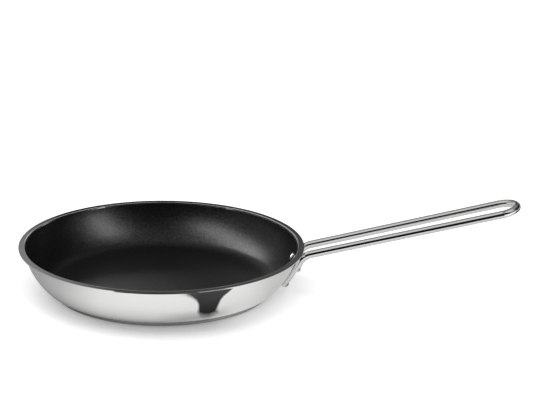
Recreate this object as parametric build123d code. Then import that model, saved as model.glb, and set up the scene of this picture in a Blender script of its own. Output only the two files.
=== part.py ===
from build123d import *
from math import asin, atan, atan2, cos, degrees, pi, radians, sin, sqrt, tan
import os

# Omelette pan: a drawn steel bowl with a coated inside, a closed-in base disc and a riveted hairpin handle.
# Lengths are in millimetres and angles in degrees. The origin is the centre of the face that the pan
# rests on, +Z is up and the handle runs along +X.

# Bowl
rim_radius = 120.0
rim_height = 38.5
sheet_thickness = 1.0
lip_overhang = 4.4
lip_bend_radius = 0.6
lip_edge_radius = 0.35
wall_arc_radius = 56.5
wall_flare_angle = 10.7
corner_radius = 17.0
heel_radius = 60.0
heel_angle = 8.0
coating_thickness = 0.3

# Base disc under the bowl
base_overhang = 10.2
base_thickness = 2.0
cap_thickness = 0.5
cap_edge_radius = 0.8

# Handle, one rod bent into a hairpin
rod_diameter = 6.5
root_spacing = 25.2
tip_spacing = 28.5
handle_length = 180.0
handle_rise_angle = 13.7
rod_drop = 4.1
bend_radius = 14.0

# Ends of the rod, flattened and laid on the wall
leg_thickness = 5.0
leg_width = 8.0
flattening_run = 8.0
leg_seat_depth = 0.5

# Rivets
shank_diameter = 4.0
head_diameter = 7.0
head_height = 1.6
head_rim_height = 0.4
button_diameter = 4.6
button_height = 1.3
button_rim_height = 0.5
rivet_seat_depth = 0.4
upper_rivet_run = 4.2
rivet_pitch = 16.8

# How far a cutting shape reaches past what it cuts
overrun = 2.0

# Stations along the flattened ends, and how the rounded nose closes in behind the lower rivet
leg_station_count = 8
nose_angle_shares = (0.35, 0.6, 0.8)
settling_passes = 4


def towards(angle):
    """Unit direction in a section, for an angle in degrees below the level direction."""
    return cos(radians(angle)), -sin(radians(angle))


def along(point, direction, distance):
    """The point a distance away from another in a section."""
    return point[0] + distance * direction[0], point[1] + distance * direction[1]


# Bowl section: a flat floor, a wide heel arc, a corner arc, a wall arc and a lip that bends outwards
flare = radians(wall_flare_angle)
lip_bend_height = rim_height - sheet_thickness - lip_bend_radius
wall_top = (rim_radius - lip_overhang, lip_bend_height + lip_bend_radius * sin(flare))
lip_bend_centre = along(wall_top, towards(wall_flare_angle), lip_bend_radius)
wall_centre = along(wall_top, towards(wall_flare_angle), -wall_arc_radius)
heel_step = heel_radius - corner_radius
arc_step = wall_arc_radius - corner_radius
corner_centre_height = base_thickness + heel_radius - heel_step * cos(radians(heel_angle))
corner_angle = degrees(asin((wall_centre[1] - corner_centre_height) / arc_step))
corner_centre = (wall_centre[0] + arc_step * cos(radians(corner_angle)), corner_centre_height)
floor_radius = corner_centre[0] - heel_step * sin(radians(heel_angle))
heel_centre = (floor_radius, base_thickness + heel_radius)
skin_thickness = sheet_thickness + coating_thickness
base_radius = floor_radius + base_overhang

# Handle plan, in the sloping plane that holds both rods and the turn at the tip
rod_radius = rod_diameter / 2
rise = radians(handle_rise_angle)
root_offset = root_spacing / 2
tip_radius = tip_spacing / 2
rod_run = (handle_length - rod_radius) / cos(rise) - tip_radius
splay_in_slope = asin(tip_radius / sqrt(rod_run**2 + root_offset**2)) - atan(root_offset / rod_run)
splay = atan(tan(splay_in_slope) / cos(rise))

# Side plane of one rod: upright, turned by the splay, and offset from the bowl's axis
side_offset = root_offset * cos(splay) - rim_radius * sin(splay)
side_slope = atan(tan(rise) * cos(splay))
lip_edge_station = (rim_radius + side_offset * sin(splay)) / cos(splay)
rod_at_lip_edge = (lip_edge_station, rim_height - rod_drop)


def station_at(reach):
    """Distance along the side plane at which it lies at a given radius from the bowl's axis."""
    return sqrt(reach**2 - side_offset**2)


def bend_geometry():
    """Centre, start and end of the bend that joins the straight rod to its leg on the wall.

    The bend touches the straight rod on one side, and on the other the leg's centre line, which runs
    parallel to the wall arc. The leg's arc is found again in each pass from the radius at which it starts.
    """
    slope_direction = (cos(side_slope), sin(side_slope))
    below = (sin(side_slope), -cos(side_slope))
    leg_arc_radius = wall_arc_radius + rod_radius
    start_angle = wall_flare_angle
    for _ in range(settling_passes):
        reach = wall_centre[0] + leg_arc_radius * cos(radians(start_angle))
        leg_centre = (wall_centre[0] - reach + station_at(reach), wall_centre[1])
        corner = along(rod_at_lip_edge, below, bend_radius)
        offset = (corner[0] - leg_centre[0], corner[1] - leg_centre[1])
        lean = offset[0] * slope_direction[0] + offset[1] * slope_direction[1]
        gap = (leg_arc_radius + bend_radius) ** 2 - offset[0] ** 2 - offset[1] ** 2
        centre = along(corner, slope_direction, sqrt(lean**2 + gap) - lean)
        start_angle = degrees(atan2(leg_centre[1] - centre[1], centre[0] - leg_centre[0]))
    bend_start = along(centre, below, -bend_radius)
    bend_end = along(centre, towards(start_angle), -bend_radius)
    return centre, bend_start, bend_end, start_angle


bend_centre, bend_start, bend_end, leg_start_angle = bend_geometry()


def bowl_line(inset):
    """Edges of the bowl's section from the axis to the wall's top, a given depth inside the outer face."""
    floor_height = base_thickness + inset
    floor = Line((0, floor_height), (floor_radius, floor_height))
    straight_down = -90
    heel = CenterArc(heel_centre, heel_radius - inset, straight_down, heel_angle)
    corner_start = straight_down + heel_angle
    corner = CenterArc(corner_centre, corner_radius - inset, corner_start, -corner_angle - corner_start)
    wall = CenterArc(wall_centre, wall_arc_radius - inset, -corner_angle, corner_angle - wall_flare_angle)
    return [floor, heel, corner, wall]


def spin(edges):
    """Solid of revolution about the bowl's axis of the closed section that the edges draw."""
    return revolve(Plane.XZ * make_face(edges), Axis.Z)


def bowl_layer(outer_inset, inner_inset):
    """Layer of the bowl's wall and floor between two depths inside its outer face, without the lip."""
    outer = bowl_line(outer_inset)
    inner = bowl_line(inner_inset)
    axis_end = Line(outer[0] @ 0, inner[0] @ 0)
    top_end = Line(outer[-1] @ 1, inner[-1] @ 1)
    return spin(outer + inner + [axis_end, top_end])


def bowl_plug():
    """Solid that fills the bowl's outer face up to the wall's top, to fit other pieces against it."""
    outer = bowl_line(0)
    rim = Line(outer[-1] @ 1, (0, wall_top[1]))
    axis = Line((0, wall_top[1]), outer[0] @ 0)
    return spin(outer + [rim, axis])


def leg_section(angle):
    """Half thickness, half width and seat depth of the leg, at an angle round the wall arc."""
    run = radians(angle - leg_start_angle) * (wall_arc_radius + rod_radius)
    progress = min(max(run / flattening_run, 0), 1)
    blend = progress**2 * (3 - 2 * progress)
    half_thickness = rod_radius + (leg_thickness / 2 - rod_radius) * blend
    half_width = rod_radius + (leg_width / 2 - rod_radius) * blend
    return half_thickness, half_width, leg_seat_depth * blend


def side_point(point, side):
    """A point of the side plane's section in space, on one side of the handle or the other."""
    x = point[0] * cos(splay) - side_offset * sin(splay)
    y = side * (point[0] * sin(splay) + side_offset * cos(splay))
    return Vector(x, y, point[1])


def leg_frame(angle, depth, side):
    """Point at a depth outside the wall on a leg, with the wall's outward direction there."""
    reach, height = along(wall_centre, towards(angle), wall_arc_radius + depth)
    point = side_point((station_at(reach), height), side)
    level, drop = towards(angle)
    return point, Vector(level * point.X / reach, level * point.Y / reach, drop)


def leg_run_angle(run):
    """Angle round the wall arc after a run along the leg from the end of the bend."""
    return leg_start_angle + degrees(run / (wall_arc_radius + rod_radius))


upper_rivet_angle = leg_run_angle(upper_rivet_run)
lower_rivet_angle = leg_run_angle(upper_rivet_run + rivet_pitch)


def rivet_plane(angle, side):
    """Plane on the wall's outer face under a rivet, with its normal pointing out of the bowl."""
    half_thickness, _, seat = leg_section(angle)
    centre, outward = leg_frame(angle, half_thickness - seat, side)
    return Plane(origin=centre - outward * (half_thickness - seat), z_dir=outward)


def leg_height(angle):
    """Thickness of the leg above the wall's outer face."""
    half_thickness, _, seat = leg_section(angle)
    return 2 * half_thickness - seat


def rivet_holes():
    """Cutters for the four rivet holes through coating, wall and legs."""
    cutters = []
    for side in (1, -1):
        for angle in (upper_rivet_angle, lower_rivet_angle):
            length = skin_thickness + leg_height(angle) + 2 * overrun
            shank = Cylinder(shank_diameter / 2, length, align=(Align.CENTER, Align.CENTER, Align.MIN))
            cutters.append(rivet_plane(angle, side) * Pos(0, 0, -skin_thickness - overrun) * shank)
    return cutters


def pan_body():
    """Drawn steel bowl with its flat lip."""
    outer = bowl_line(0)
    inner = bowl_line(sheet_thickness)
    axis_end = Line(outer[0] @ 0, inner[0] @ 0)
    bend_size = 90 - wall_flare_angle
    under_bend = CenterArc(lip_bend_centre, lip_bend_radius, 90, bend_size)
    upper_bend = CenterArc(lip_bend_centre, lip_bend_radius + sheet_thickness, 90, bend_size)
    lip_line = Polyline(under_bend @ 0, (rim_radius, (under_bend @ 0).Y), (rim_radius, rim_height), upper_bend @ 0)
    section = make_face(outer + inner + [axis_end, under_bend, upper_bend, *lip_line.edges()])
    section = fillet(section.vertices().group_by(Axis.X)[-1], lip_edge_radius)
    return revolve(Plane.XZ * section, Axis.Z) - rivet_holes()


def nonstick_coating():
    """Black layer on the inside, up to where the wall starts to bend into the lip."""
    return bowl_layer(sheet_thickness, skin_thickness) - rivet_holes()


def base_blank(radius, bottom):
    """Disc from a given height up to the bowl's outer face."""
    height = corner_centre_height - bottom
    disc = Cylinder(radius, height, align=(Align.CENTER, Align.CENTER, Align.MIN))
    return Pos(0, 0, bottom) * disc - bowl_plug()


def base_core():
    """Aluminium disc that spreads the heat under the floor."""
    return base_blank(base_radius - cap_thickness, cap_thickness)


def base_cap():
    """Steel cup that closes in the core, with its foot rounded."""
    blank = base_blank(base_radius, 0)
    foot = blank.edges().filter_by(GeomType.CIRCLE).group_by(Axis.Z)[0]
    return fillet(foot, cap_edge_radius) - base_core()


def rod_path():
    """Centre line of the round rod, from the end of one bend, round the tip, to the end of the other."""
    tip_x = rim_radius + rod_run * cos(rise)
    tip_z = rim_height - rod_drop + rod_run * sin(rise)
    slope = Plane(origin=(tip_x, 0, tip_z), x_dir=(cos(rise), 0, sin(rise)), z_dir=(-sin(rise), 0, cos(rise)))
    turn_start = slope.from_local_coords((-tip_radius * sin(splay_in_slope), tip_radius * cos(splay_in_slope)))
    turn_end = slope.from_local_coords((-tip_radius * sin(splay_in_slope), -tip_radius * cos(splay_in_slope)))
    tip = slope.from_local_coords((tip_radius, 0))
    middle_angle = (leg_start_angle + 90 - degrees(side_slope)) / 2
    bend_middle = along(bend_centre, towards(middle_angle), -bend_radius)
    legs = []
    for side, turn in ((1, turn_start), (-1, turn_end)):
        start, middle, end = (side_point(point, side) for point in (bend_end, bend_middle, bend_start))
        legs.append((ThreePointArc(start, middle, end), Line(end, turn)))
    turn = ThreePointArc(turn_start, tip, turn_end)
    return Wire([legs[0][0], legs[0][1], turn, legs[1][1], legs[1][0]])


def rod_leg(side):
    """Flattened end of the rod, from the end of the bend to its rounded nose, before it meets the wall."""
    nose_radius = leg_width / 2
    lower_run = upper_rivet_run + rivet_pitch
    stations = [(lower_run * step / leg_station_count, 1) for step in range(leg_station_count + 1)]
    for share in nose_angle_shares:
        turn = share * pi / 2
        stations.append((lower_run + nose_radius * sin(turn), cos(turn)))
    sections = []
    for run, closing in stations:
        angle = leg_run_angle(run)
        half_thickness, half_width, seat = leg_section(angle)
        half_thickness *= sqrt(closing)
        centre, outward = leg_frame(angle, half_thickness - seat, side)
        across = Vector(-sin(splay), side * cos(splay), 0)
        plane = Plane(origin=centre, x_dir=outward, z_dir=outward.cross(across))
        sections.append(plane * Ellipse(half_thickness, half_width * closing))
    return loft(sections)


def plain_handle():
    """Whole handle, fitted against the wall, before its rivet holes."""
    path = rod_path()
    start = Plane(origin=path @ 0, z_dir=path % 0)
    rod = sweep(start * Circle(rod_radius), path)
    legs = [rod_leg(side) for side in (1, -1)]
    return rod + legs - bowl_plug()


def handle_rod(handle):
    """Hairpin rod with a rivet hole near each end of its legs."""
    return handle - rivet_holes()


def domed_disc(diameter, height, rim_height_above_seat, seat):
    """Rivet head: a short rim that reaches below its seat, and a domed top."""
    radius = diameter / 2
    dome_height = height - rim_height_above_seat
    dome_radius = (radius**2 + dome_height**2) / (2 * dome_height)
    dome = RadiusArc((radius, rim_height_above_seat), (0, height), -dome_radius)
    sides = Polyline((0, height), (0, -seat), (radius, -seat), (radius, rim_height_above_seat))
    return revolve(Plane.XZ * make_face([dome, *sides.edges()]), Axis.Z)


def rivet_pair(angle, handle):
    """Two rivets at one height: head on the coating, shank through wall and leg, set end on the leg."""
    skin = bowl_layer(0, skin_thickness)
    pair = []
    for side in (1, -1):
        plane = rivet_plane(angle, side)
        head = domed_disc(head_diameter, head_height, head_rim_height, rivet_seat_depth)
        head = plane * Pos(0, 0, -skin_thickness) * Rot(180, 0, 0) * head - skin
        button = domed_disc(button_diameter, button_height, button_rim_height, rivet_seat_depth)
        button = plane * Pos(0, 0, leg_height(angle)) * button - handle
        shank_start = -skin_thickness - head_rim_height
        shank_length = leg_height(angle) + button_rim_height - shank_start
        shank = Cylinder(shank_diameter / 2, shank_length, align=(Align.CENTER, Align.CENTER, Align.MIN))
        pair.append(plane * Pos(0, 0, shank_start) * shank + head + button)
    return Compound(pair)


def build():
    """Every piece by its name."""
    handle = plain_handle()
    return {
        "pan_body": pan_body(),
        "nonstick_coating": nonstick_coating(),
        "base_core": base_core(),
        "base_cap": base_cap(),
        "handle_rod": handle_rod(handle),
        "upper_rivets": rivet_pair(upper_rivet_angle, handle),
        "lower_rivets": rivet_pair(lower_rivet_angle, handle),
    }


os.makedirs("parts", exist_ok=True)
for name, shape in build().items():
    export_step(shape, f"parts/{name}.step")
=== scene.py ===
import logging
from collections.abc import Sequence
from dataclasses import dataclass, field
from enum import Enum

import bpy
import numpy as np
from mathutils import Matrix, Vector


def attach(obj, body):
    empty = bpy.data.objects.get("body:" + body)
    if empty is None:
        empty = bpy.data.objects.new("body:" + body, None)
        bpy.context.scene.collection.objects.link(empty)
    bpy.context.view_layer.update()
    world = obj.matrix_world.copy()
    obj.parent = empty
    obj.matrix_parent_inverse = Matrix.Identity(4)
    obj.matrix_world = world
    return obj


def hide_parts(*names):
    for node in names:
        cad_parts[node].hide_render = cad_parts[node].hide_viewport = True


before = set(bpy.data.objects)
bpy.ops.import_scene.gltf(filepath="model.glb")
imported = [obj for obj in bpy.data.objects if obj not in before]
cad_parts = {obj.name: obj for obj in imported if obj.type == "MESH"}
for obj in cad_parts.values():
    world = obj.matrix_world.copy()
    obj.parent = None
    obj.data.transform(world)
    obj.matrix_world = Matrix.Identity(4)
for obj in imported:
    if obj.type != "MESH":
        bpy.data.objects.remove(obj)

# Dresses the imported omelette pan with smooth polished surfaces, a studio floor, soft light and a camera.
# The pan's sizes and the cards that lie on the floor are in millimetres, all else in the studio in metres.
# The row frame has the pan's axis upright at its origin, the handle towards x and the camera at minus y.

MM = 0.001
BODY = "root"
LEVEL = np.array([1.0, 1.0, 0.0])
UPRIGHT = np.array([0.0, 0.0, 1.0])
WHITE = (1.0, 1.0, 1.0, 1.0)
log = logging.getLogger("omelette_pan")

Pair = tuple[float, float]
Place = tuple[float, float, float]
Rings = tuple[np.ndarray, np.ndarray, np.ndarray]


def linear(code: str) -> tuple[float, float, float, float]:
    """Turns an sRGB hex colour into linear red, green, blue and alpha.

    Args:
        code: six hex digits, such as "E4E3E0".
    Returns:
        Four floats for a colour socket.
    """
    channels = np.array([int(code[i : i + 2], 16) for i in (0, 2, 4)]) / 255
    low = channels / 12.92
    high = ((channels + 0.055) / 1.055) ** 2.4
    red, green, blue = np.where(channels <= 0.04045, low, high)
    return float(red), float(green), float(blue), 1.0


def bare_tree(holder: bpy.types.Material | bpy.types.World) -> bpy.types.NodeTree:
    """Turns on the nodes of a material or world, and takes out those that it starts with.

    Args:
        holder: the material or world.
    Returns:
        Its empty node tree.
    """
    holder.use_nodes = True
    holder.node_tree.nodes.clear()
    return holder.node_tree


def add_node(
    tree: bpy.types.NodeTree, kind: str, settings: dict | None = None, links: dict | None = None
) -> bpy.types.bpy_prop_collection:
    """Adds a node, sets its properties and sockets, and links outputs of other nodes to its inputs.

    Args:
        tree: node tree that gets the node.
        kind: Blender's name of the node type, less the ShaderNode at its front.
        settings: property names, or input names or numbers, with their values.
        links: input names or numbers with the output socket that feeds each.
    Returns:
        The new node's outputs.
    """
    node = tree.nodes.new("ShaderNode" + kind)
    for name, value in (settings or {}).items():
        if isinstance(name, str) and hasattr(node, name):
            setattr(node, name, value)
        else:
            node.inputs[name].default_value = value
    for name, source in (links or {}).items():
        tree.links.new(source, node.inputs[name])
    return node.outputs


@dataclass(frozen=True)
class Ramp:
    """Level that runs from first to last while a value runs from start to end, and is even outside."""

    start: float
    end: float
    first: float = 0.0
    last: float = 1.0
    smooth: bool = False

    @classmethod
    def about(cls, middle: float, swing: float) -> "Ramp":
        """Middle less the swing to middle plus the swing, over the values that a noise mostly keeps to."""
        return cls(0.3, 0.7, middle - swing, middle + swing)

    @property
    def settings(self) -> dict[str, float | str]:
        """The ramp as settings of a Map Range node."""
        sockets = {"From Min": self.start, "From Max": self.end, "To Min": self.first, "To Max": self.last}
        return {"interpolation_type": "SMOOTHSTEP" if self.smooth else "LINEAR", **sockets}


def unit(vectors: np.ndarray) -> np.ndarray:
    """Vectors of length one along the last axis."""
    return vectors / np.linalg.norm(vectors, axis=-1, keepdims=True)


def grid_faces(rows: int, columns: int, first: int = 0) -> np.ndarray:
    """Quads of a grid whose rows close on themselves: each joins two points of a row to two of the next.

    Args:
        rows: rows of points in the grid.
        columns: points in each row.
        first: index of the grid's first point.
    Returns:
        Array of four indices a face.
    """
    row, column = np.meshgrid(np.arange(rows - 1), np.arange(columns), indexing="ij")
    near = row * columns + column
    far = row * columns + (column + 1) % columns
    return np.stack([near, far, far + columns, near + columns], -1).reshape(-1, 4) + first


@dataclass
class Skin:
    """Closed surface made of rings between two poles, with a normal at every point, in millimetres."""

    points: np.ndarray
    normals: np.ndarray
    faces: list[Sequence[int]]

    @classmethod
    def between_poles(
        cls, rings: np.ndarray, ring_normals: np.ndarray, poles: np.ndarray, pole_normals: np.ndarray
    ) -> "Skin":
        """Closes a stack of rings with a fan of triangles to a pole at each end.

        Args:
            rings: points, one ring a row, running so that the faces point outwards.
            ring_normals: outward unit normals at those points.
            poles: first and last pole.
            pole_normals: outward unit normals at the poles.
        Returns:
            The closed surface.
        """
        rows, columns, _ = rings.shape
        points = np.vstack([poles[:1], rings.reshape(-1, 3), poles[1:]])
        normals = np.vstack([pole_normals[:1], ring_normals.reshape(-1, 3), pole_normals[1:]])
        ring = np.arange(columns)
        after = (ring + 1) % columns
        last = rows * columns + 1
        base = last - columns
        lower = np.stack([np.zeros_like(ring), 1 + after, 1 + ring], -1)
        upper = np.stack([np.full_like(ring, last), base + ring, base + after], -1)
        return cls(points, normals, lower.tolist() + grid_faces(rows, columns, 1).tolist() + upper.tolist())

    def moved(self, axes: np.ndarray, origin: np.ndarray) -> "Skin":
        """The surface in another frame: each point is the origin plus its coordinates along the axes."""
        return Skin(self.points @ axes + origin, self.normals @ axes, self.faces)

    def joined(self, other: "Skin") -> "Skin":
        """Puts both surfaces together, with the other's faces counted on.

        Args:
            other: the second surface.
        Returns:
            One surface of two closed parts.
        """
        shift = len(self.points)
        faces = self.faces + [[index + shift for index in face] for face in other.faces]
        return Skin(np.vstack([self.points, other.points]), np.vstack([self.normals, other.normals]), faces)

    def mesh_object(self, name: str, material: bpy.types.Material) -> bpy.types.Object:
        """Puts the surface in the scene in metres, smooth and with its own normals.

        Args:
            name: name of the object and its mesh.
            material: its finish.
        Returns:
            The new object.
        """
        mesh = bpy.data.meshes.new(name)
        mesh.from_pydata((self.points * MM).tolist(), [], self.faces)
        mesh.polygons.foreach_set("use_smooth", np.ones(len(mesh.polygons), bool))
        mesh.update()
        mesh.normals_split_custom_set_from_vertices(self.normals.tolist())
        mesh.materials.append(material)
        piece = bpy.data.objects.new(name, mesh)
        bpy.context.scene.collection.objects.link(piece)
        return piece


@dataclass
class Section:
    """Half section of a turned piece, as radii and heights with outward unit normals, from pole to pole."""

    points: list[np.ndarray] = field(default_factory=list)
    normals: list[np.ndarray] = field(default_factory=list)

    def corner(self, point: Pair, facing: Pair) -> "Section":
        """Adds one point.

        Args:
            point: its radius and height.
            facing: direction of its normal, of any length.
        Returns:
            The section itself.
        """
        self.points.append(np.array([point], float))
        self.normals.append(unit(np.array([facing], float)))
        return self

    def arc(
        self, centre: Pair, radius: float, start: float, end: float, steps: int, hollow: bool = False
    ) -> "Section":
        """Adds an arc: centre plus radius times cosine and sine of angles that run evenly from start to end.

        Args:
            centre: radius and height of the arc's centre.
            radius: radius of the arc.
            start: first angle in degrees, from the level direction upwards.
            end: last angle in degrees.
            steps: number of pieces that the arc is cut into.
            hollow: True where the metal is outside the arc, so that the normal points to its centre.
        Returns:
            The section itself.
        """
        angles = np.radians(np.linspace(start, end, steps + 1))
        directions = np.stack([np.cos(angles), np.sin(angles)], -1)
        self.points.append(np.array(centre) + radius * directions)
        self.normals.append(-directions if hollow else directions)
        return self

    def turned(self, segments: int) -> Skin:
        """Turns the section about the upright axis: x and y are the radius times cosine and sine of the turn.

        Args:
            segments: points in each ring.
        Returns:
            Closed surface whose first and last points are its poles.
        """
        points = np.vstack(self.points)
        normals = np.vstack(self.normals)
        turn = np.linspace(0, 2 * np.pi, segments, endpoint=False)
        across = np.stack([np.cos(turn), np.sin(turn), np.zeros(segments)], -1)
        rings = points[1:-1, None, :1] * across + points[1:-1, None, 1:] * UPRIGHT
        ring_normals = normals[1:-1, None, :1] * across + normals[1:-1, None, 1:] * UPRIGHT
        poles = points[[0, -1], 1:] * UPRIGHT
        pole_normals = np.sign(normals[[0, -1], 1:]) * UPRIGHT
        return Skin.between_poles(rings, ring_normals, poles, pole_normals)


@dataclass(frozen=True)
class BowlShape:
    """Outer face of the bowl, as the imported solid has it: floor, heel, corner and wall arcs, and lip.

    The bevel on the lip is the scene's own. Points are a radius and a height, and angles are in degrees.
    """

    rim_radius: float = 120.0
    rim_height: float = 38.5
    sheet: float = 1.0
    coating: float = 0.3
    lip_overhang: float = 4.4
    lip_bend: float = 0.6
    lip_edge: float = 0.15
    lip_crease: float = 0.4
    bevel_tilt: float = 10.0
    bevel_width: float = 0.7
    wall_arc: float = 56.5
    wall_flare: float = 10.7
    corner_arc: float = 17.0
    heel_arc: float = 60.0
    heel_angle: float = 8.0
    floor_height: float = 2.0

    @property
    def flare_direction(self) -> np.ndarray:
        """Outward direction of the wall at its top."""
        flare = np.radians(self.wall_flare)
        return np.array([np.cos(flare), -np.sin(flare)])

    @property
    def wall_top(self) -> np.ndarray:
        """Point where the wall's outer face starts to bend into the lip."""
        height = self.rim_height - self.sheet - self.lip_bend * (1 + self.flare_direction[1])
        return np.array([self.rim_radius - self.lip_overhang, height])

    @property
    def wall_centre(self) -> np.ndarray:
        """Centre of the wall arc."""
        return self.wall_top - self.wall_arc * self.flare_direction

    @property
    def lip_centre(self) -> np.ndarray:
        """Centre of the bend between wall and lip."""
        return self.wall_top + self.lip_bend * self.flare_direction

    @property
    def crease_centre(self) -> np.ndarray:
        """Centre of the small bend between the bevel and the wall's inner face.

        It lies its own radius below the bevel, and the sum of its radius and the inner face's away from the
        wall's centre.

        Returns:
            Its radius and height.
        """
        tilt = np.radians(self.bevel_tilt)
        height = self.rim_height + self.bevel_width * np.sin(tilt) - self.lip_crease * np.cos(tilt)
        distance = self.wall_arc - self.sheet + self.lip_crease
        reach = np.sqrt(distance**2 - (height - self.wall_centre[1]) ** 2)
        return np.array([self.wall_centre[0] + reach, height])

    @property
    def crease_angle(self) -> float:
        """Angle at which the small bend runs into the wall's inner face."""
        step = self.crease_centre - self.wall_centre
        return float(180 + np.degrees(np.arctan2(step[1], step[0])))

    @property
    def corner_centre(self) -> np.ndarray:
        """Centre of the corner arc, on the line from the wall's centre at the corner's angle below level."""
        reach = (self.wall_arc - self.corner_arc) * np.cos(np.radians(self.corner_angle))
        return np.array([self.wall_centre[0] + reach, self.corner_height])

    @property
    def corner_angle(self) -> float:
        """Angle below level at which the wall arc runs into the corner arc."""
        drop = self.wall_centre[1] - self.corner_height
        return float(np.degrees(np.arcsin(drop / (self.wall_arc - self.corner_arc))))

    @property
    def corner_height(self) -> float:
        """Height of the corner arc's centre, which the wide heel arc carries up from the floor."""
        drop = (self.heel_arc - self.corner_arc) * np.cos(np.radians(self.heel_angle))
        return float(self.floor_height + self.heel_arc - drop)

    @property
    def heel_centre(self) -> np.ndarray:
        """Centre of the heel arc, above the edge of the flat floor."""
        step = (self.heel_arc - self.corner_arc) * np.sin(np.radians(self.heel_angle))
        return np.array([self.corner_centre[0] - step, self.floor_height + self.heel_arc])


class Grain(Enum):
    """Direction of the fine lines that polishing leaves in steel."""

    RINGS = "rings about the pan's axis"
    LENGTHWISE = "lines along the rod"


@dataclass(frozen=True)
class PolishedSteel:
    """Stainless steel, 18/10 except in the base, that was drawn, bent, turned or pressed and then buffed.

    To the eye it is a near mirror, with faint lines that soften what it shows. Sizes are millimetres.
    """

    name: str
    colour: str = "E4E4E3"
    roughness: float = 0.05
    roughness_swing: float = 0.015
    patch_size: float = 45.0
    line_spacing: float = 0.9
    line_depth: float = 0.003
    line_strength: float = 0.25
    line_stretch: float = 0.04
    grain: Grain = Grain.RINGS

    def material(self) -> bpy.types.Material:
        """Builds the finish: metal whose roughness drifts over the patches that a buffing wheel leaves.

        Its lines are noise that changes only with the radius and height, or noise drawn out along the rod.

        Returns:
            The finish.
        """
        material = bpy.data.materials.new(self.name)
        tree = bare_tree(material)
        place = add_node(tree, "TexCoord")["Object"]
        if self.grain is Grain.LENGTHWISE:
            lines_at = add_node(tree, "Mapping", {"Scale": (self.line_stretch, 1, 1)}, {"Vector": place})[0]
        else:
            height = add_node(tree, "SeparateXYZ", None, {0: place})["Z"]
            flat = add_node(tree, "VectorMath", {"operation": "MULTIPLY", 1: LEVEL}, {0: place})[0]
            reach = add_node(tree, "VectorMath", {"operation": "LENGTH"}, {0: flat})["Value"]
            lines_at = add_node(tree, "CombineXYZ", None, {0: reach, 2: height})[0]
        # Buffing lines are 0.05 mm apart. They are drawn as coarse as the render needs to show any.
        fineness = {"Scale": 1 / (self.line_spacing * MM), "Detail": 3.0, "Roughness": 0.6}
        lines = add_node(tree, "TexNoise", fineness, {"Vector": lines_at})["Fac"]
        relief = {"Strength": self.line_strength, "Distance": self.line_depth * MM}
        bump = add_node(tree, "Bump", relief, {"Height": lines})[0]
        patches = {"Scale": 1 / (self.patch_size * MM), "Detail": 3.0}
        cloud = add_node(tree, "TexNoise", patches, {"Vector": place})["Fac"]
        swing = Ramp.about(self.roughness, self.roughness_swing).settings
        roughness = add_node(tree, "MapRange", swing, {"Value": cloud})[0]
        metal = {"Base Color": linear(self.colour), "Metallic": 1.0}
        shader = add_node(tree, "BsdfPrincipled", metal, {"Roughness": roughness, "Normal": bump})
        add_node(tree, "OutputMaterial", None, {"Surface": shader[0]})
        return material


@dataclass(frozen=True)
class NonstickCoating:
    """Black fluoropolymer, sprayed on grit-blasted steel and baked.

    To the eye it is nearly black and satin, with an orange peel and a grain that break up its highlights. The
    real ones are some tenths of a millimetre wide. They are drawn at 0.9 to 1.7 mm, because a pixel of the
    picture is 0.85 mm wide there and finer ones wouldn't show. Sizes are millimetres.
    """

    name: str = "baked_black_nonstick"
    colour: str = "0B0B0C"
    roughness: float = 0.32
    roughness_swing: float = 0.03
    sheen: float = 0.5
    sheen_swing: float = 0.12
    refraction: float = 1.36
    peel_size: float = 1.3
    peel_strength: float = 0.5
    grit_size: float = 0.9
    grit_strength: float = 0.35
    relief_depth: float = 0.12
    speckle_size: float = 1.7

    def material(self) -> bpy.types.Material:
        """Builds the finish: dark plastic with two sizes of bump, and a speckle.

        The bumps are the spray's orange peel and the filler's grit. The roughness and the sheen vary a little
        with the speckle.

        Returns:
            The finish.
        """
        material = bpy.data.materials.new(self.name)
        tree = bare_tree(material)
        place = {"Vector": add_node(tree, "TexCoord")["Object"]}
        depth = {"Distance": self.relief_depth * MM}
        peel = add_node(tree, "TexNoise", {"Scale": 1 / (self.peel_size * MM), "Detail": 2.0}, place)["Fac"]
        grit = add_node(tree, "TexVoronoi", {"Scale": 1 / (self.grit_size * MM)}, place)["Distance"]
        coarse = add_node(tree, "Bump", {"Strength": self.peel_strength, **depth}, {"Height": peel})[0]
        fine = {"Strength": self.grit_strength, **depth}
        normal = add_node(tree, "Bump", fine, {"Height": grit, "Normal": coarse})[0]
        fleck = {"Scale": 1 / (self.speckle_size * MM), "Detail": 1.0}
        speckle = {"Value": add_node(tree, "TexNoise", fleck, place)["Fac"]}
        swing = Ramp.about(self.roughness, self.roughness_swing).settings
        roughness = add_node(tree, "MapRange", swing, speckle)[0]
        sheen = add_node(tree, "MapRange", Ramp.about(self.sheen, self.sheen_swing).settings, speckle)[0]
        shader = add_node(
            tree,
            "BsdfPrincipled",
            {"Base Color": linear(self.colour), "Metallic": 0.0, "IOR": self.refraction},
            {"Roughness": roughness, "Specular IOR Level": sheen, "Normal": normal},
        )
        add_node(tree, "OutputMaterial", None, {"Surface": shader[0]})
        return material


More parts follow.
